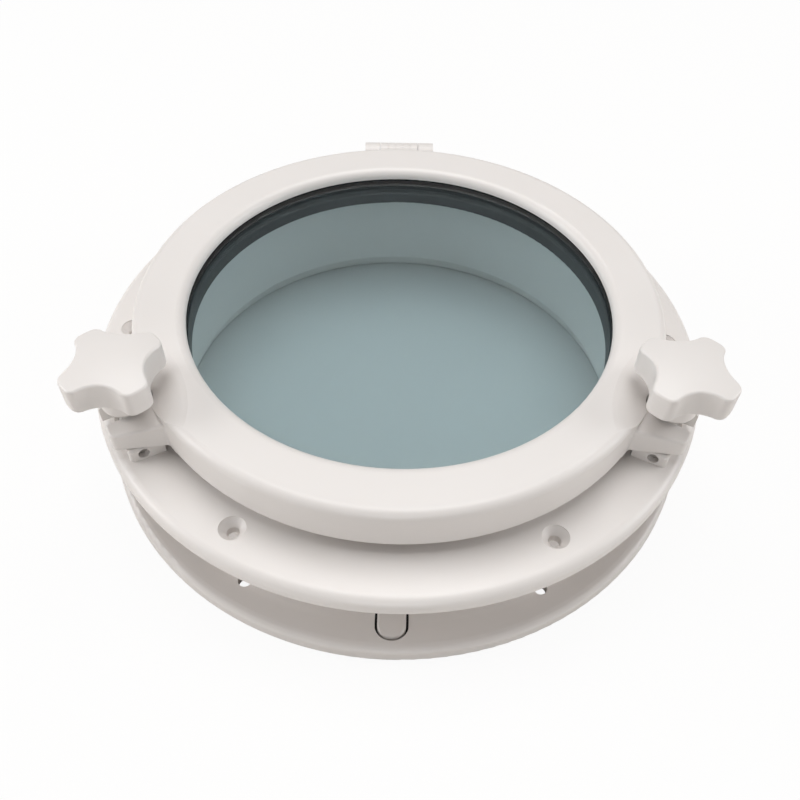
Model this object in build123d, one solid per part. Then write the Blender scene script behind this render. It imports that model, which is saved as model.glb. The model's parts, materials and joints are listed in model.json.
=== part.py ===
from build123d import *

import os
from math import hypot

# Opening porthole for a boat hull, in millimetres.
# The frame's flange lies on the inside of the hull, with its back face on Z = 0 and +Z pointing inboard.
# The spigot goes through the hull along -Z, and the trim ring slides on it from outboard.
# The lid hinges at +Y, and its two swing bolts (dogs) stand to the left (-X) and right (+X) of -Y.

# Main frame
FLANGE_R = 147.4
FLANGE_T = 7.5
FLANGE_ROUND = 4.6
COAMING_R = 116.0
COAMING_TOP = 15.7
SPIGOT_R = 114.5
SPIGOT_END = -43.5
THROAT_R_TOP = 111.5
THROAT_R_LOW = 110.3
MOUTH_Z = -36.0
MOUTH_R = 113.3
SCREW_CIRCLE_R = 132.5
SCREW_COUNT = 6
SCREW_HOLE_R = 2.75
SCREW_HEAD_R = 5.85
SCREW_HEAD_DEPTH = 0.4
DRAIN_TURN = -1.2

# Trim ring
TRIM_BORE_R = 115.1
TRIM_TOP = -34.6
TRIM_WEB_TOP = -36.0
TRIM_RIM_W = 4.0
TRIM_SLOPE_W = 9.0
TRIM_COLLAR_R = 119.0
TRIM_COLLAR_TOP = -30.0
TRIM_HOLE_R = 3.1
TRIM_NUT_R = 5.2
TRIM_NUT_DEPTH = 2.5
DRAIN_SLOT_HALF = 7.4
DRAIN_SLOT_REACH = 142.0
DRAIN_GAP = 1.1
DRAIN_SEAL_GAP = 0.1
DRAIN_SEAL_TOP = -38.0
SPOUT_TOP = TRIM_WEB_TOP + 0.8
SPOUT_ROUND = 1.2
SCUPPER_Z = TRIM_WEB_TOP + 3.5
SCUPPER_R = 2.5
SCUPPER_HALF = 6.0

# Lid ring
LID_R = 125.0
LID_BOTTOM = 14.5
LID_TOP = 35.0
LID_ROUND = 4.0
LIP_R = 100.8
LIP_ROUND = 4.0
LIP_BOTTOM = 29.8
POCKET_R = 105.4
STEP_Z = 22.5
STEP_R = 109.6
GROOVE_IN_R = 111.2
GROOVE_OUT_R = 117.0
GROOVE_TOP = 23.5
GROOVE_WALL_Z = 17.0

# Glazing
GLASS_T = 6.0
GLASS_R = 104.2
GASKET_LIP_R = 101.2
GASKET_LIP_T = 0.5
GLASS_BEVEL = 0.4
RETAINER_R = 109.4
RETAINER_IN_R = 100.6
RETAINER_LEG_R = 103.4
RETAINER_T = 3.0
RETAINER_LOW = 10.8
GLAZING_SCREWS = 8
GLAZING_SCREW_R = 107.3
SCREW_SHANK_R = 1.1
SCREW_PASS_R = 1.25
SCREW_BITE = 5.0
PAN_R = 2.0
PAN_T = 1.6
PAN_ROUND = 0.7
DRIVE_HALF_W = 0.35
DRIVE_HALF_L = 1.2
DRIVE_DEPTH = 0.8
SEAL_LOW = COAMING_TOP + 0.3
SEAL_BEVEL = 1.5

# Lid hinge
HINGE_Y = 140.5
HINGE_Z = 20.0
KNUCKLE_R = 6.75
KNUCKLE_LEG_BACK = 5.25
ARM_DROP = 0.6
LID_KNUCKLE_HALF = 10.8
FRAME_KNUCKLE_IN = 11.15
FRAME_KNUCKLE_OUT = 20.0
HINGE_PIN_R = 2.5
BUSH_R = 3.5
BUSH_END_GAP = 0.1
HINGE_PIN_RECESS = 0.3
PIN_CHAMFER = 0.4
RIB_COUNT = 4
RIB_PITCH = 4.2
RIB_GROOVE = 0.35

# Dogs
DOG_ANGLE = {"left": -152.0, "right": -28.0}
DOG_R = 134.3
DOG_PIVOT_Z = 11.0
DOG_PIN_R = 2.5
DOG_PIN_RECESS = 2.5
EYE_R = 5.0
EYE_HALF = 4.2
SPACER_R = 4.4
FORK_HALF = 5.5
CHEEK_HALF = 17.2
CHEEK_IN_R = 125.0
CHEEK_OUT_R = 140.6
CHEEK_TOP = LID_BOTTOM - 0.3
CHEEK_CORNER = 2.0
CHEEK_ROUND = 1.5
EYE_POCKET_GAP = 1.5
ROD_R = 4.0
ROD_TOP = 49.5
ROD_CHAMFER = 0.8
LUG_HALF_IN = 22.2
LUG_HALF_OUT = 12.6
LUG_OUT_R = 145.3
LUG_TOP_IN = 26.5
LUG_TOP_OUT = 22.4
LUG_SLOPE_R = 126.0
LUG_ROUND = 1.5
LUG_CORNER = 3.5
LUG_BLEND = 2.0
LUG_ROOT_R = 119.0
SLOT_END_R = 122.0
SCOOP_IN_R = 8.5
SCOOP_OUT_R = 27.0
SCOOP_STRETCH = 1.6
SCOOP_DROP = 0.2

# Knobs
HUB_R = 9.5
HUB_LOW = 27.6
HUB_ROUND = 1.6
HEAD_LOW = 40.0
HEAD_TOP = 55.2
HEAD_R = 21.9
DOME_R = 95.0
FLANK_CENTRE = 29.7
FLANK_R = 15.0
LOBE_ROUND = 4.2
HEAD_ROUND = 1.2
LOBE_TURN = {"left": 41.5, "right": 47.3}
INSERT_R = 6.5
INSERT_TOP = 43.0
WASHER_R = 8.4
WASHER_T = 0.8
WASHER_BORE_R = ROD_R + 0.3
KNOB_BORE_R = ROD_R + 0.4
INSERT_GROOVE = 0.7

RUNNING_FIT = 0.05


def turned(corners, rounds=None):
    """A ring: the closed outline of (radius, height) corners, turned about Z."""
    radii = rounds or [0] * len(corners)
    outline = FilletPolyline(*corners, radius=radii, close=True)
    face = make_face(outline)
    return revolve(Plane.XZ * face, Axis.Z, 360)


def cylinder(radius, low, high):
    """An upright cylinder on the Z axis between two heights."""
    return Pos(0, 0, (low + high) / 2) * Cylinder(radius, high - low)


def slab(x, y, z):
    """A box given by its (low, high) extents along X, Y and Z."""
    centre = [(low + high) / 2 for low, high in (x, y, z)]
    size = [high - low for low, high in (x, y, z)]
    return Pos(*centre) * Box(*size)


def cross_pin(radius, half_length):
    """A cylinder along Y, centred on the origin."""
    return Rot(90, 0, 0) * Cylinder(radius, 2 * half_length)


def spread(count, radius, start=0.0):
    """Evenly spaced places on a circle about Z."""
    return PolarLocations(radius, count, start_angle=start)


def at_dog(side):
    """The frame of one dog: X points outboard from the port's axis, Z up."""
    return Rot(0, 0, DOG_ANGLE[side])


def hull_screw_cutter():
    """Clearance hole with a sunk conical seat for one hull screw, cut from the flange's top."""
    cone_h = SCREW_HEAD_R - SCREW_HOLE_R
    seat = FLANGE_T - SCREW_HEAD_DEPTH
    shaft = cylinder(SCREW_HOLE_R, -1, FLANGE_T)
    cone = Pos(0, 0, seat - cone_h / 2) * Cone(SCREW_HOLE_R, SCREW_HEAD_R, cone_h)
    recess = cylinder(SCREW_HEAD_R, seat, FLANGE_T + 1)
    return shaft + cone + recess


def clevis_block():
    """The two cheeks of one dog's pivot, drawn in the dog's own frame."""
    block = slab((CHEEK_IN_R, CHEEK_OUT_R), (-CHEEK_HALF, CHEEK_HALF), (FLANGE_T - 1, CHEEK_TOP))
    upright = block.edges().filter_by(Axis.Z).group_by(Axis.X)[-1]
    block = fillet(upright, CHEEK_CORNER)
    top_out = block.faces().sort_by(Axis.Z)[-1].edges().group_by(Axis.X)[-1]
    return fillet(top_out, CHEEK_ROUND)


def clevis_cutter():
    """The gap between the cheeks with its pocket in the flange, and the pin's hole."""
    gap = slab((CHEEK_IN_R - 1, FLANGE_R + 1), (-FORK_HALF, FORK_HALF), (FLANGE_T, LID_BOTTOM + 5))
    reach = EYE_R + EYE_POCKET_GAP
    pocket = slab((DOG_R - reach, DOG_R + reach), (-FORK_HALF, FORK_HALF), (DOG_PIVOT_Z - EYE_R - 0.5, FLANGE_T))
    bore = Pos(DOG_R, 0, DOG_PIVOT_Z) * cross_pin(DOG_PIN_R, CHEEK_HALF + 1)
    return gap + pocket + bore


def frame_knuckles():
    """The two outer knuckles of the lid's hinge, each on a pedestal that stands on the flange."""
    width = FRAME_KNUCKLE_OUT - FRAME_KNUCKLE_IN
    parts = []
    for sign in (-1, 1):
        mid = sign * (FRAME_KNUCKLE_IN + FRAME_KNUCKLE_OUT) / 2
        barrel = Pos(mid, HINGE_Y, HINGE_Z) * Rot(0, 90, 0) * Cylinder(KNUCKLE_R, width)
        leg_x = (mid - width / 2, mid + width / 2)
        leg = slab(leg_x, (HINGE_Y - KNUCKLE_R, HINGE_Y + KNUCKLE_LEG_BACK), (FLANGE_T - 2, HINGE_Z))
        parts += [barrel, leg]
    return parts


def hinge_bore(radius):
    """A cutter along the hinge's axis."""
    return Pos(0, HINGE_Y, HINGE_Z) * Rot(0, 90, 0) * Cylinder(radius, 2 * FRAME_KNUCKLE_OUT + 2)


def drain_tongue(margin, low, high):
    """The drain slot's rounded outline at the port's lowest point, less a margin all round."""
    half = DRAIN_SLOT_HALF - margin
    reach = DRAIN_SLOT_REACH - DRAIN_SLOT_HALF
    strip = slab((-half, half), (-reach, -SPIGOT_R + 2), (low, high))
    return Rot(0, 0, DRAIN_TURN) * (strip + Pos(0, -reach, 0) * cylinder(half, low, high))


def drain_spout():
    """The spout that stands in the trim ring's drain slot."""
    spout = drain_tongue(DRAIN_GAP, SPIGOT_END, SPOUT_TOP)
    spout = fillet(spout.faces().sort_by(Axis.Z)[-1].edges(), SPOUT_ROUND)
    return spout - cylinder(SPIGOT_R - 1, SPIGOT_END - 1, 0)


def drain_seal():
    """A rubber strip bonded round the spout, which closes its gap to the slot."""
    strip = drain_tongue(DRAIN_SEAL_GAP, SPIGOT_END, DRAIN_SEAL_TOP)
    strip -= drain_tongue(DRAIN_GAP, SPIGOT_END - 1, 0)
    return strip - cylinder(TRIM_BORE_R, SPIGOT_END - 1, 0)


def main_frame():
    corners = [
        (THROAT_R_TOP, COAMING_TOP),
        (COAMING_R, COAMING_TOP),
        (COAMING_R, FLANGE_T),
        (FLANGE_R, FLANGE_T),
        (FLANGE_R, 0),
        (SPIGOT_R, 0),
        (SPIGOT_R, SPIGOT_END),
        (MOUTH_R, SPIGOT_END),
        (THROAT_R_LOW, MOUTH_Z),
    ]
    rounds = [0.8, 1.2, 2.0, FLANGE_ROUND, 0.6, 1.0, 0.3, 0.3, 0.15]
    body = turned(corners, rounds)
    for side in DOG_ANGLE:
        body += at_dog(side) * clevis_block()
    body += frame_knuckles()
    body += drain_spout()
    for side in DOG_ANGLE:
        body -= at_dog(side) * clevis_cutter()
    body -= hinge_bore(HINGE_PIN_R)
    body -= spread(SCREW_COUNT, SCREW_CIRCLE_R, DRAIN_TURN) * hull_screw_cutter()
    scupper = Pos(0, -(SPIGOT_R + THROAT_R_LOW) / 2, SCUPPER_Z) * cross_pin(SCUPPER_R, SCUPPER_HALF)
    return body - Rot(0, 0, DRAIN_TURN) * scupper


def trim_ring():
    corners = [
        (TRIM_BORE_R, TRIM_COLLAR_TOP),
        (TRIM_COLLAR_R, TRIM_COLLAR_TOP),
        (TRIM_COLLAR_R, TRIM_WEB_TOP),
        (FLANGE_R - TRIM_RIM_W - TRIM_SLOPE_W, TRIM_WEB_TOP),
        (FLANGE_R - TRIM_RIM_W, TRIM_TOP),
        (FLANGE_R, TRIM_TOP),
        (FLANGE_R, SPIGOT_END),
        (TRIM_BORE_R, SPIGOT_END),
    ]
    rounds = [0.5, 0.8, 1.5, 12.0, 2.6, 2.6, 2.0, 0.5]
    ring = turned(corners, rounds)
    hole = cylinder(TRIM_HOLE_R, SPIGOT_END - 1, TRIM_TOP + 1)
    nut_seat = cylinder(TRIM_NUT_R, SPIGOT_END - 1, SPIGOT_END + TRIM_NUT_DEPTH)
    ring -= spread(SCREW_COUNT, SCREW_CIRCLE_R, DRAIN_TURN) * (hole + nut_seat)
    return ring - drain_tongue(0, SPIGOT_END - 1, TRIM_COLLAR_TOP + 1)


def lug_plan():
    """A lug and its stretch of ring seen from above, with a soft blend where the two meet."""
    corners = [
        (LUG_ROOT_R, -LUG_HALF_IN),
        (LUG_OUT_R, -LUG_HALF_OUT),
        (LUG_OUT_R, LUG_HALF_OUT),
        (LUG_ROOT_R, LUG_HALF_IN),
    ]
    plan = Circle(LID_R) + make_face(Polyline(*corners, close=True))
    tips = plan.vertices().sort_by(Axis.X)[-2:]
    plan = fillet(tips, LUG_CORNER)
    roots = [v for v in plan.vertices() if abs(hypot(v.X, v.Y) - LID_R) < 0.01 and v.X > LUG_ROOT_R]
    return fillet(roots, LUG_BLEND)


def lug():
    """One forked lug in the dog's own frame, without its slot: its top slopes down outward."""
    slope = (LUG_TOP_IN - LUG_TOP_OUT) / (LUG_OUT_R - LUG_SLOPE_R)
    outer = LUG_OUT_R + 2
    reach = LUG_HALF_IN + 2 * LUG_BLEND
    corners = [
        (LUG_ROOT_R, LID_BOTTOM),
        (outer, LID_BOTTOM),
        (outer, LUG_TOP_IN - slope * (outer - LUG_SLOPE_R)),
        (LUG_ROOT_R, LUG_TOP_IN - slope * (LUG_ROOT_R - LUG_SLOPE_R)),
    ]
    side = make_face(Polyline(*corners, close=True))
    bar = extrude(Plane.XZ * side, reach, both=True)
    body = bar & extrude(Pos(0, 0, LID_BOTTOM) * lug_plan(), LID_TOP - LID_BOTTOM)
    top = body.faces().sort_by(Axis.Z)[-1]
    rim = [edge for edge in top.edges() if edge.center().X > LID_R - 1]
    return fillet(rim, LUG_ROUND)


def lug_slot():
    """The open slot that takes the dog's rod."""
    run = slab((SLOT_END_R + FORK_HALF, LUG_OUT_R + 1), (-FORK_HALF, FORK_HALF), (LID_BOTTOM - 1, LID_TOP + 1))
    return run + Pos(SLOT_END_R + FORK_HALF, 0, 0) * cylinder(FORK_HALF, LID_BOTTOM - 1, LID_TOP + 1)


def knob_scoop():
    """A shallow oval dish about the dog's axis: it runs the ring's top down to the lug's."""
    low = LUG_TOP_IN + SCOOP_DROP
    start = (SCOOP_IN_R, low)
    end = (SCOOP_OUT_R, LID_TOP + 0.05)
    curve = Spline(start, end, tangents=[(1, 0.15), (1, 0.02)])
    close = Polyline(end, (SCOOP_OUT_R, LID_TOP + 3), (0, LID_TOP + 3), (0, low), start)
    dish = revolve(Plane.XZ * make_face(curve + close), Axis.Z, 360)
    return Pos(DOG_R, 0, 0) * scale(dish, by=(1, SCOOP_STRETCH, 1))


def hinge_arm():
    """The lid's centre knuckle and the arm that joins it to the ring."""
    barrel = Pos(0, HINGE_Y, HINGE_Z) * Rot(0, 90, 0) * Cylinder(KNUCKLE_R, 2 * LID_KNUCKLE_HALF)
    arm_y = (GROOVE_OUT_R + 4, HINGE_Y)
    arm = slab((-LID_KNUCKLE_HALF, LID_KNUCKLE_HALF), arm_y, (LID_BOTTOM, HINGE_Z + KNUCKLE_R - ARM_DROP))
    groove = Rot(0, 90, 0) * (Cylinder(KNUCKLE_R + 1, RIB_GROOVE) - Cylinder(KNUCKLE_R - RIB_GROOVE, 2 * RIB_GROOVE))
    places = GridLocations(RIB_PITCH, 0, RIB_COUNT, 1)
    grooves = [place * Pos(0, HINGE_Y, HINGE_Z) * groove for place in places]
    return barrel + arm - grooves


def lid_ring():
    corners = [
        (LIP_R, LID_TOP),
        (LID_R, LID_TOP),
        (LID_R, LID_BOTTOM),
        (GROOVE_OUT_R, LID_BOTTOM),
        (GROOVE_OUT_R, GROOVE_TOP),
        (GROOVE_IN_R, GROOVE_TOP),
        (GROOVE_IN_R, GROOVE_WALL_Z),
        (STEP_R, GROOVE_WALL_Z),
        (STEP_R, STEP_Z),
        (POCKET_R, STEP_Z),
        (POCKET_R, LIP_BOTTOM),
        (LIP_R, LIP_BOTTOM),
    ]
    rounds = [LIP_ROUND - 0.01, LID_ROUND, 1.0, 0.4] + [0] * 8
    ring = turned(corners, rounds)
    for side in DOG_ANGLE:
        ring -= at_dog(side) * knob_scoop()
        ring += at_dog(side) * lug()
        ring -= at_dog(side) * lug_slot()
    ring += hinge_arm()
    ring -= hinge_bore(BUSH_R)
    pilot = cylinder(SCREW_SHANK_R, STEP_Z - 1, STEP_Z + SCREW_BITE + 1)
    start = 180.0 / GLAZING_SCREWS
    return ring - spread(GLAZING_SCREWS, GLAZING_SCREW_R, start) * pilot


def glass_pane():
    low = LIP_BOTTOM - GASKET_LIP_T - GLASS_T
    pane = cylinder(GLASS_R, low, low + GLASS_T)
    rims = pane.edges().filter_by(GeomType.CIRCLE)
    return chamfer(rims, GLASS_BEVEL)


def glazing_gasket():
    """A channel section that wraps the pane's edge inside the lid's pocket."""
    top = LIP_BOTTOM - GASKET_LIP_T
    corners = [
        (GASKET_LIP_R, LIP_BOTTOM),
        (POCKET_R, LIP_BOTTOM),
        (POCKET_R, STEP_Z),
        (GASKET_LIP_R, STEP_Z),
        (GASKET_LIP_R, top - GLASS_T),
        (GLASS_R, top - GLASS_T),
        (GLASS_R, top),
        (GASKET_LIP_R, top),
    ]
    return turned(corners)


def retaining_ring():
    """The ring behind the pane: a flange seated on the lid's step, and a leg that hides the gasket."""
    under = STEP_Z - RETAINER_T
    corners = [
        (RETAINER_IN_R, STEP_Z),
        (RETAINER_R, STEP_Z),
        (RETAINER_R, under),
        (RETAINER_LEG_R, under),
        (RETAINER_LEG_R, RETAINER_LOW),
        (RETAINER_IN_R, RETAINER_LOW),
    ]
    ring = turned(corners, [0.3, 0, 0.5, 0.5, 0.8, 0.8])
    start = 180.0 / GLAZING_SCREWS
    return ring - spread(GLAZING_SCREWS, GLAZING_SCREW_R, start) * cylinder(SCREW_PASS_R, under - 1, STEP_Z + 1)


def glazing_screws():
    """Pan-headed screws from below, through the retaining ring into the lid."""
    under = STEP_Z - RETAINER_T
    low = under - PAN_T
    head = fillet(cylinder(PAN_R, low, under).edges().group_by(Axis.Z)[0], PAN_ROUND)
    shank = cylinder(SCREW_SHANK_R, under - 0.1, STEP_Z + SCREW_BITE)
    drive = slab((-DRIVE_HALF_W, DRIVE_HALF_W), (-DRIVE_HALF_L, DRIVE_HALF_L), (low - 1, low + DRIVE_DEPTH))
    screw = head + shank - Rot(0, 0, 45) * drive
    start = 180.0 / GLAZING_SCREWS
    return Compound(children=[place * screw for place in spread(GLAZING_SCREWS, GLAZING_SCREW_R, start)])


def main_seal():
    corners = [
        (GROOVE_IN_R, GROOVE_TOP),
        (GROOVE_OUT_R, GROOVE_TOP),
        (GROOVE_OUT_R, SEAL_LOW + SEAL_BEVEL),
        (GROOVE_OUT_R - SEAL_BEVEL, SEAL_LOW),
        (GROOVE_IN_R + SEAL_BEVEL, SEAL_LOW),
        (GROOVE_IN_R, SEAL_LOW + SEAL_BEVEL),
    ]
    return turned(corners, [0, 0, 0.8, 0.8, 0.8, 0.8])


def hinge_bushes():
    """Two plain sleeves pressed into the lid's knuckle, end to end."""
    length = LID_KNUCKLE_HALF - BUSH_END_GAP
    sleeve = Cylinder(BUSH_R, length) - Cylinder(HINGE_PIN_R + RUNNING_FIT, length + 2)
    places = [Pos(sign * length / 2, HINGE_Y, HINGE_Z) * Rot(0, 90, 0) for sign in (-1, 1)]
    return Compound(children=[place * sleeve for place in places])


def hinge_pin():
    """A plain pin pressed into the frame's two knuckles, its ends a little below their faces."""
    pin = Cylinder(HINGE_PIN_R, 2 * (FRAME_KNUCKLE_OUT - HINGE_PIN_RECESS))
    pin = chamfer(pin.edges().filter_by(GeomType.CIRCLE), PIN_CHAMFER)
    return Pos(0, HINGE_Y, HINGE_Z) * Rot(0, 90, 0) * pin


def dog_pin():
    pin = cross_pin(DOG_PIN_R, CHEEK_HALF - DOG_PIN_RECESS)
    pin = chamfer(pin.edges().filter_by(GeomType.CIRCLE), PIN_CHAMFER)
    return Pos(DOG_R, 0, DOG_PIVOT_Z) * pin


def dog_bolt():
    """An eye bolt: a barrel on the pivot pin with a threaded rod standing on it."""
    eye = Pos(0, 0, DOG_PIVOT_Z) * cross_pin(EYE_R, EYE_HALF)
    rod = cylinder(ROD_R, DOG_PIVOT_Z, ROD_TOP)
    rod = chamfer(rod.edges().group_by(Axis.Z)[-1], ROD_CHAMFER)
    bore = Pos(0, 0, DOG_PIVOT_Z) * cross_pin(DOG_PIN_R + RUNNING_FIT, EYE_HALF + 1)
    return Pos(DOG_R, 0, 0) * (eye + rod - bore)


def dog_spacers():
    """Two thin rings that centre the eye between the cheeks."""
    thick = FORK_HALF - EYE_HALF - 2 * RUNNING_FIT
    ring = Rot(90, 0, 0) * (Cylinder(SPACER_R, thick) - Cylinder(DOG_PIN_R + RUNNING_FIT, thick + 1))
    offset = EYE_HALF + thick / 2
    return Pos(DOG_R, -offset, DOG_PIVOT_Z) * ring + Pos(DOG_R, offset, DOG_PIVOT_Z) * ring


def washer():
    top = HUB_LOW - RUNNING_FIT
    ring = cylinder(WASHER_R, top - WASHER_T, top) - cylinder(WASHER_BORE_R, top - 2, top + 2)
    return Pos(DOG_R, 0, 0) * ring


def knob_outline():
    """Four lobes: a disc with four round flanks scooped out and its lobe corners rounded."""
    flanks = PolarLocations(FLANK_CENTRE, 4, start_angle=45) * Circle(FLANK_R)
    star = Circle(HEAD_R) - flanks
    return fillet(star.vertices(), LOBE_ROUND)


def knob(side):
    """The hand knob about its own upright axis: lobed head, round hub and a blind hole for the rod."""
    head = extrude(Pos(0, 0, HEAD_LOW) * knob_outline(), HEAD_TOP - HEAD_LOW)
    head &= Pos(0, 0, HEAD_TOP - DOME_R) * Sphere(DOME_R)
    top = head.faces().sort_by(Axis.Z)[-1]
    bottom = head.faces().sort_by(Axis.Z)[0]
    head = fillet(top.edges() + bottom.edges(), HEAD_ROUND)
    hub = cylinder(HUB_R, HUB_LOW, HEAD_LOW + 2)
    hub = fillet(hub.edges().group_by(Axis.Z)[0], HUB_ROUND)
    body = head + hub
    body -= cylinder(INSERT_R, HUB_LOW - 1, INSERT_TOP)
    body -= cylinder(KNOB_BORE_R, INSERT_TOP - 1, ROD_TOP + 1)
    turn = LOBE_TURN[side] - DOG_ANGLE[side]
    return Pos(DOG_R, 0, 0) * Rot(0, 0, turn) * body


def knob_insert():
    """The threaded insert in the knob's hub, with a grip groove around it."""
    body = cylinder(INSERT_R, HUB_LOW, INSERT_TOP)
    middle = (HUB_LOW + INSERT_TOP) / 2
    groove = cylinder(INSERT_R + 1, middle - 1, middle + 1) - cylinder(INSERT_R - INSERT_GROOVE, middle - 2, middle + 2)
    bore = cylinder(ROD_R + RUNNING_FIT, HUB_LOW - 1, INSERT_TOP + 1)
    return Pos(DOG_R, 0, 0) * (body - groove - bore)


def save(name, shape):
    """Write one named piece as a STEP file."""
    shape.label = name
    export_step(shape, f"parts/{name}.step")


os.makedirs("parts", exist_ok=True)

save("main_frame", main_frame())
save("drain_seal", drain_seal())
save("trim_ring", trim_ring())
save("lid_ring", lid_ring())
save("glass_pane", glass_pane())
save("glazing_gasket", glazing_gasket())
save("retaining_ring", retaining_ring())
save("glazing_screws", glazing_screws())
save("main_seal", main_seal())
save("hinge_bushes", hinge_bushes())
save("hinge_pin", hinge_pin())

for side in DOG_ANGLE:
    save(f"{side}_dog_pin", at_dog(side) * dog_pin())
    save(f"{side}_dog_bolt", at_dog(side) * dog_bolt())
    save(f"{side}_dog_spacers", at_dog(side) * dog_spacers())
    save(f"{side}_washer", at_dog(side) * washer())
    save(f"{side}_knob", at_dog(side) * knob(side))
    save(f"{side}_knob_insert", at_dog(side) * knob_insert())
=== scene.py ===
import json
from math import cos, pi, radians, sin

import bpy
from mathutils import Matrix, Vector


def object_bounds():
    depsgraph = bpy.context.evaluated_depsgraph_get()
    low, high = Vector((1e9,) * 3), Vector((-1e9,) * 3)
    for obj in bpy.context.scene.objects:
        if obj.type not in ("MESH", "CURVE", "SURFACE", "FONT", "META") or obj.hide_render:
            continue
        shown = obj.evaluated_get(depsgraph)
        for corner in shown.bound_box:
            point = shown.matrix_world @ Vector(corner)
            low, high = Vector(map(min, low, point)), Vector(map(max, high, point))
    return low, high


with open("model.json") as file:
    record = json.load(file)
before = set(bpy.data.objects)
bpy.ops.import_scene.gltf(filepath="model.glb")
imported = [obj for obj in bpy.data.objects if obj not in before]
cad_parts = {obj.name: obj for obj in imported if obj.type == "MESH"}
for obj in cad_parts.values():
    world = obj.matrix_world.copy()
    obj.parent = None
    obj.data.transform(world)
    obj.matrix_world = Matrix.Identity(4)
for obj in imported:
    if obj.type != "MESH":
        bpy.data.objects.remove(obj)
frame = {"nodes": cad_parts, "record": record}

# Opening porthole: materials, floor, sky, softboxes and camera. Metres and radians, in the CAD frame.

MM = 0.001
CAD_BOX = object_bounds()
NODES = frame["nodes"]

# Camera: it looks along +Y and down, and OBJECT_TURN is how far the object is turned under it
CAMERA_DISTANCE_BACK = 297.4 * MM
CAMERA_HEIGHT = 300.5 * MM
CAMERA_PITCH = radians(49.03)
CAMERA_YAW = radians(0.27)
CAMERA_ROLL = radians(1.83)
OBJECT_TURN = radians(1.3)
LENS_MM = 37.53
SENSOR_MM = 36.0
NEAR_CLIP = 10 * MM

# Floor: FLOOR_GLOW is how much of its look is plain white to the camera, and the shade is painted shade:
# how much is taken off it where it is seen through the pane
FLOOR_HALF = 3.0
FLOOR_COLOUR = (0.80, 0.77, 0.74)
FLOOR_GLOW = 0.93
FLOOR_SHADE_BEHIND_GLASS = 0.185
FLOOR_GAP = 0.3 * MM

# Sky: SKY_BEHIND_GLASS is its share of plain white for rays that leave the pane
SKY_COLOUR = (1.0, 0.97, 0.94)
SKY_STRENGTH = 0.13
SKY_BEHIND_GLASS = 0.4

# Softboxes: square, and all face the origin. SIDE_PLACE is mirrored in X for the left one. Watts.
OVERHEAD_PLACE = (-0.03, 0.27, 1.5)
OVERHEAD_SIZE = 1.15
OVERHEAD_POWER = 17.2
FRONT_PLACE = (-0.05, -1.45, 0.36)
FRONT_SIZE = 0.6
FRONT_POWER = 4.3
SIDE_PLACE = (1.32, 0.02, 0.60)
SIDE_SIZE = 0.7
SIDE_POWER = {"left": 10.5, "right": 8.2}

# Each side's sign along X
SIDES = {"left": -1, "right": 1}

# Colours that a material varies between
WHITE_ABS = ((0.715, 0.680, 0.655), (0.755, 0.724, 0.702))
BLACK_RUBBER = ((0.012, 0.012, 0.013), (0.022, 0.022, 0.023))
BLACK_PLASTIC = ((0.010, 0.011, 0.013), (0.016, 0.018, 0.021))
STAINLESS = ((0.52, 0.51, 0.50), (0.66, 0.65, 0.63))
BRASS = ((0.62, 0.45, 0.18), (0.76, 0.58, 0.28))
NYLON = ((0.70, 0.69, 0.64), (0.78, 0.77, 0.72))

# Pane: the tint that each face gives to what is seen, and the tint of lamplight that passes
PANE_TINT = (0.708, 0.81, 0.842)
PANE_LIGHT_TINT = (0.41, 0.465, 0.475)

# Roughness that a material varies between
ABS_GLOSS = (0.34, 0.46)
PANE_GLOSS = (0.0, 0.016)
RUBBER_GLOSS = (0.55, 0.75)
BLACK_PLASTIC_GLOSS = (0.4, 0.55)
STAINLESS_GLOSS = (0.22, 0.36)
BRASS_GLOSS = (0.25, 0.4)
NYLON_GLOSS = (0.4, 0.55)

# Thread of the swing bolts, as relief in their material from THREAD_LOW up
THREAD_PITCH = 1.25 * MM
THREAD_DEPTH = 0.5 * MM
THREAD_LOW = 18.0 * MM


# ---------------------------------------------------------------- materials

def new_material(name):
    """A new node material, with its tree and its Principled shader."""
    material = bpy.data.materials.new(name)
    material.use_nodes = True
    tree = material.node_tree
    return material, tree, tree.nodes["Principled BSDF"]


def add(tree, kind, **values):
    """A new node with some of its sockets or properties set by name."""
    node = tree.nodes.new(kind)
    for key, value in values.items():
        label = key.replace("_", " ")
        if label in node.inputs:
            node.inputs[label].default_value = value
        else:
            setattr(node, key, value)
    return node


def object_space(tree):
    """Places in the CAD frame, which the texture nodes take as their Vector."""
    return add(tree, "ShaderNodeTexCoord").outputs["Object"]


def noise(tree, scale, detail=3.0):
    """A 3-D noise texture in object space, with scale in cycles per metre."""
    texture = add(tree, "ShaderNodeTexNoise", Scale=scale, Detail=detail)
    tree.links.new(object_space(tree), texture.inputs["Vector"])
    return texture.outputs["Fac"]


def colour_by(tree, shader, source, pair):
    """Colours a shader between the two colours of a pair, by a source of 0 to 1."""
    node = add(tree, "ShaderNodeMix", data_type="RGBA")
    node.inputs["A"].default_value = (*pair[0], 1)
    node.inputs["B"].default_value = (*pair[1], 1)
    tree.links.new(source, node.inputs["Factor"])
    tree.links.new(node.outputs["Result"], shader.inputs["Base Color"])


def roughen_by(tree, shader, source, pair):
    """Varies a shader's roughness between the two values of a pair, by a source of 0 to 1."""
    node = add(tree, "ShaderNodeMapRange")
    node.inputs["To Min"].default_value = pair[0]
    node.inputs["To Max"].default_value = pair[1]
    tree.links.new(source, node.inputs["Value"])
    tree.links.new(node.outputs["Result"], shader.inputs["Roughness"])


def bump(tree, shader, source, strength, distance):
    """Gives a shader the relief of a source, at most distance metres deep, and returns its node."""
    node = add(tree, "ShaderNodeBump", Strength=strength, Distance=distance)
    tree.links.new(source, node.inputs["Height"])
    tree.links.new(node.outputs["Normal"], shader.inputs["Normal"])
    return node


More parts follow.
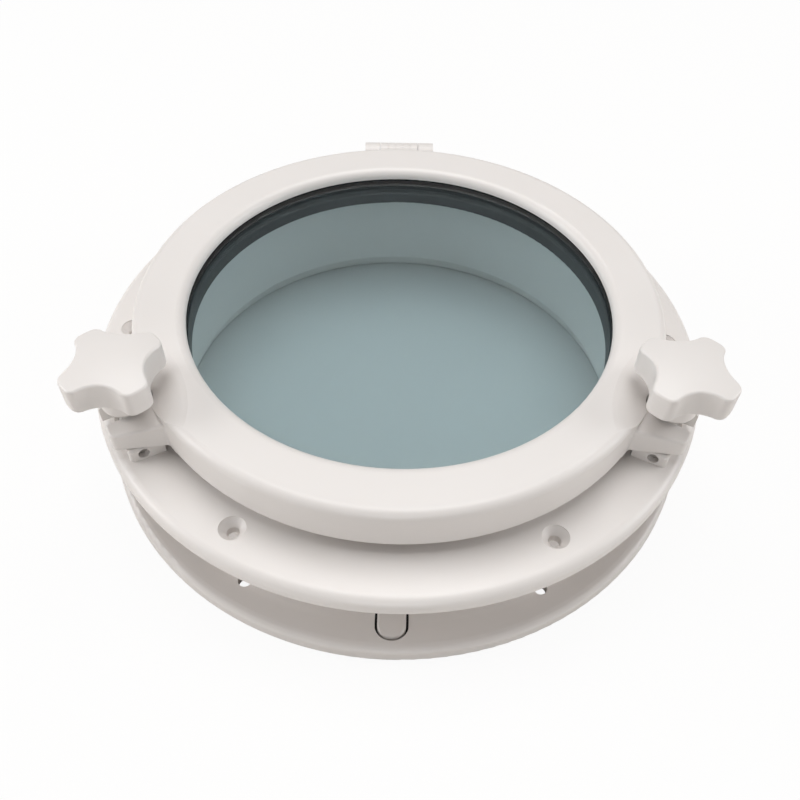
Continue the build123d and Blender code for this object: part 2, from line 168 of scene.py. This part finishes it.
def white_abs():
    """Satin white moulded plastic: faint warm clouding, fine mould texture, uneven gloss."""
    material, tree, shader = new_material("white_abs")
    colour_by(tree, shader, noise(tree, 14.0, 4.0), WHITE_ABS)
    roughen_by(tree, shader, noise(tree, 90.0), ABS_GLOSS)
    shader.inputs["IOR"].default_value = 1.5
    shader.inputs["Subsurface Weight"].default_value = 0.06
    shader.inputs["Subsurface Radius"].default_value = (1.0, 0.85, 0.7)
    shader.inputs["Subsurface Scale"].default_value = 1.5 * MM
    bump(tree, shader, noise(tree, 2600.0, 2.0), 0.12, 0.04 * MM)
    return material


def tinted_acrylic():
    """Blue-grey clear pane. Lamplight passes straight through it tinted, so the space behind is lit."""
    material, tree, shader = new_material("tinted_acrylic")
    shader.inputs["Base Color"].default_value = (*PANE_TINT, 1)
    shader.inputs["Transmission Weight"].default_value = 1.0
    shader.inputs["IOR"].default_value = 1.49
    roughen_by(tree, shader, noise(tree, 22.0, 2.0), PANE_GLOSS)
    clear = add(tree, "ShaderNodeBsdfTransparent", Color=(*PANE_LIGHT_TINT, 1))
    path = add(tree, "ShaderNodeLightPath")
    mix = add(tree, "ShaderNodeMixShader")
    tree.links.new(path.outputs["Is Shadow Ray"], mix.inputs["Fac"])
    tree.links.new(shader.outputs["BSDF"], mix.inputs[1])
    tree.links.new(clear.outputs["BSDF"], mix.inputs[2])
    tree.links.new(mix.outputs["Shader"], tree.nodes["Material Output"].inputs["Surface"])
    return material


def dark_plastic(name, colours, gloss, grain):
    """Black rubber or plastic with a fine grain, given in cycles per metre."""
    material, tree, shader = new_material(name)
    colour_by(tree, shader, noise(tree, 60.0, 4.0), colours)
    roughen_by(tree, shader, noise(tree, 400.0, 2.0), gloss)
    bump(tree, shader, noise(tree, grain, 2.0), 0.25, 0.06 * MM)
    return material


def turned_metal(name, colours, gloss):
    """Machined metal with fine uneven brushing across Z."""
    material, tree, shader = new_material(name)
    shader.inputs["Metallic"].default_value = 1.0
    stretch = add(tree, "ShaderNodeMapping")
    stretch.inputs["Scale"].default_value = (1.0, 1.0, 18.0)
    grain = add(tree, "ShaderNodeTexNoise", Scale=420.0, Detail=3.0)
    tree.links.new(object_space(tree), stretch.inputs["Vector"])
    tree.links.new(stretch.outputs["Vector"], grain.inputs["Vector"])
    colour_by(tree, shader, grain.outputs["Fac"], colours)
    roughen_by(tree, shader, grain.outputs["Fac"], gloss)
    bump(tree, shader, grain.outputs["Fac"], 0.15, 0.03 * MM)
    return material


def threaded_steel():
    """Turned stainless with a thread of the bolts' pitch above their plain eyes."""
    material = turned_metal("stainless_thread", STAINLESS, STAINLESS_GLOSS)
    tree = material.node_tree
    shader = tree.nodes["Principled BSDF"]
    brushed = shader.inputs["Normal"].links[0].from_socket
    place = object_space(tree)
    ridges = add(tree, "ShaderNodeTexWave", wave_type="BANDS", bands_direction="Z", Distortion=0.0)
    # The node draws 10 / pi bands to the metre for each unit of its scale
    ridges.inputs["Scale"].default_value = pi / (10 * THREAD_PITCH)
    split = add(tree, "ShaderNodeSeparateXYZ")
    threaded = add(tree, "ShaderNodeMath", operation="GREATER_THAN")
    threaded.inputs[1].default_value = THREAD_LOW
    relief = add(tree, "ShaderNodeMath", operation="MULTIPLY")
    tree.links.new(place, ridges.inputs["Vector"])
    tree.links.new(place, split.inputs["Vector"])
    tree.links.new(split.outputs["Z"], threaded.inputs[0])
    tree.links.new(ridges.outputs["Fac"], relief.inputs[0])
    tree.links.new(threaded.outputs["Value"], relief.inputs[1])
    thread = bump(tree, shader, relief.outputs["Value"], 0.8, THREAD_DEPTH)
    tree.links.new(brushed, thread.inputs["Normal"])
    return material


def nylon():
    """Natural nylon: milky and slightly see-through at its edges."""
    material, tree, shader = new_material("nylon")
    colour_by(tree, shader, noise(tree, 150.0), NYLON)
    roughen_by(tree, shader, noise(tree, 300.0, 2.0), NYLON_GLOSS)
    shader.inputs["Subsurface Weight"].default_value = 0.3
    shader.inputs["Subsurface Scale"].default_value = 1.0 * MM
    return material


def make_materials():
    """One material per slot of the record."""
    return {
        "white_abs": white_abs(),
        "tinted_acrylic": tinted_acrylic(),
        "black_rubber": dark_plastic("black_rubber", BLACK_RUBBER, RUBBER_GLOSS, 1500.0),
        "black_plastic": dark_plastic("black_plastic", BLACK_PLASTIC, BLACK_PLASTIC_GLOSS, 2400.0),
        "stainless": turned_metal("stainless", STAINLESS, STAINLESS_GLOSS),
        "brass": turned_metal("brass", BRASS, BRASS_GLOSS),
        "nylon": nylon(),
    }


def dress_nodes(materials):
    """Gives every CAD node the material of its slot, and the swing bolts their thread."""
    for part in frame["record"]["subparts"]:
        mesh = NODES[part["node"]].data
        mesh.materials.clear()
        mesh.materials.append(materials[part["material_slot"]])
    thread = threaded_steel()
    for side in SIDES:
        NODES[f"{side}_dog_bolt"].data.materials[0] = thread


# ---------------------------------------------------------------- stage

def floor(height):
    """A wide pale floor: near white to the camera, with a little painted shade where it shows through
    the pane.
    """
    mesh = bpy.data.meshes.new("floor")
    corners = [(x * FLOOR_HALF, y * FLOOR_HALF, height) for x, y in ((-1, -1), (1, -1), (1, 1), (-1, 1))]
    mesh.from_pydata(corners, [], [(0, 1, 2, 3)])
    plane = bpy.data.objects.new("floor", mesh)
    bpy.context.scene.collection.objects.link(plane)
    material, tree, shader = new_material("floor_white")
    shader.inputs["Base Color"].default_value = (*FLOOR_COLOUR, 1)
    shader.inputs["Roughness"].default_value = 0.9
    glow = add(tree, "ShaderNodeEmission")
    path = add(tree, "ShaderNodeLightPath")
    seen = add(tree, "ShaderNodeMath", operation="MULTIPLY")
    seen.inputs[1].default_value = FLOOR_GLOW
    # Painted shade: rays through the pane see the floor mixed with this share of black emission
    behind_glass = add(tree, "ShaderNodeMath", operation="MULTIPLY_ADD")
    behind_glass.inputs[1].default_value = FLOOR_SHADE_BEHIND_GLASS
    mix = add(tree, "ShaderNodeMixShader")
    tree.links.new(path.outputs["Is Camera Ray"], glow.inputs["Strength"])
    tree.links.new(path.outputs["Is Camera Ray"], seen.inputs[0])
    tree.links.new(path.outputs["Is Transmission Ray"], behind_glass.inputs[0])
    tree.links.new(seen.outputs[0], behind_glass.inputs[2])
    tree.links.new(behind_glass.outputs[0], mix.inputs["Fac"])
    tree.links.new(shader.outputs["BSDF"], mix.inputs[1])
    tree.links.new(glow.outputs["Emission"], mix.inputs[2])
    tree.links.new(mix.outputs["Shader"], tree.nodes["Material Output"].inputs["Surface"])
    mesh.materials.append(material)


def softbox(name, place, size, power):
    """A square soft light at a place, turned to face the origin."""
    data = bpy.data.lights.new(name, "AREA")
    data.size = size
    data.energy = power
    lamp = bpy.data.objects.new(name, data)
    bpy.context.scene.collection.objects.link(lamp)
    lamp.location = place
    lamp.rotation_euler = (-Vector(place)).to_track_quat("-Z", "Y").to_euler()


def sky():
    """A weak even surround that looks as white as the floor beyond the floor's edge."""
    world = bpy.data.worlds.new("studio")
    world.use_nodes = True
    tree = world.node_tree
    weak = tree.nodes["Background"]
    weak.inputs["Color"].default_value = (*SKY_COLOUR, 1)
    weak.inputs["Strength"].default_value = SKY_STRENGTH
    white = add(tree, "ShaderNodeBackground", Color=(1, 1, 1, 1), Strength=1.0)
    path = add(tree, "ShaderNodeLightPath")
    share = add(tree, "ShaderNodeMath", operation="MULTIPLY_ADD")
    share.inputs[1].default_value = SKY_BEHIND_GLASS
    mix = add(tree, "ShaderNodeMixShader")
    tree.links.new(path.outputs["Is Transmission Ray"], share.inputs[0])
    tree.links.new(path.outputs["Is Camera Ray"], share.inputs[2])
    tree.links.new(share.outputs[0], mix.inputs["Fac"])
    tree.links.new(weak.outputs["Background"], mix.inputs[1])
    tree.links.new(white.outputs["Background"], mix.inputs[2])
    tree.links.new(mix.outputs["Shader"], tree.nodes["World Output"].inputs["Surface"])
    bpy.context.scene.world = world


def lights():
    """A large overhead softbox set back behind the port, a low front fill and a low box each side."""
    softbox("overhead", OVERHEAD_PLACE, OVERHEAD_SIZE, OVERHEAD_POWER)
    softbox("front", FRONT_PLACE, FRONT_SIZE, FRONT_POWER)
    for side, sign in SIDES.items():
        place = (sign * SIDE_PLACE[0], *SIDE_PLACE[1:])
        softbox(f"{side}_side", place, SIDE_SIZE, SIDE_POWER[side])


def camera():
    """The viewing camera: pitched down at the port from -Y, with a slight yaw and roll."""
    data = bpy.data.cameras.new("camera")
    data.lens = LENS_MM
    data.sensor_width = SENSOR_MM
    data.clip_start = NEAR_CLIP
    view = bpy.data.objects.new("camera", data)
    bpy.context.scene.collection.objects.link(view)
    forward = Vector((sin(CAMERA_YAW), cos(CAMERA_YAW), 0))
    ahead = cos(CAMERA_PITCH) * forward + Vector((0, 0, -sin(CAMERA_PITCH)))
    level = Vector((cos(CAMERA_YAW), -sin(CAMERA_YAW), 0))
    upward = level.cross(ahead)
    right = cos(CAMERA_ROLL) * level + sin(CAMERA_ROLL) * upward
    top = -sin(CAMERA_ROLL) * level + cos(CAMERA_ROLL) * upward
    turn = Matrix((right, top, -ahead)).transposed().to_4x4()
    place = Matrix.Translation((0, -CAMERA_DISTANCE_BACK, CAMERA_HEIGHT))
    view.matrix_world = Matrix.Rotation(-OBJECT_TURN, 4, "Z") @ place @ turn
    bpy.context.scene.camera = view


def colour_management():
    """Plain display colours, so that white plastic reads as white."""
    settings = bpy.context.scene.view_settings
    settings.view_transform = "Standard"
    settings.look = "None"
    settings.exposure = 0.0


materials = make_materials()
dress_nodes(materials)
floor(CAD_BOX[0][2] - FLOOR_GAP)    # below the CAD box's lowest Z
sky()
lights()
camera()
colour_management()
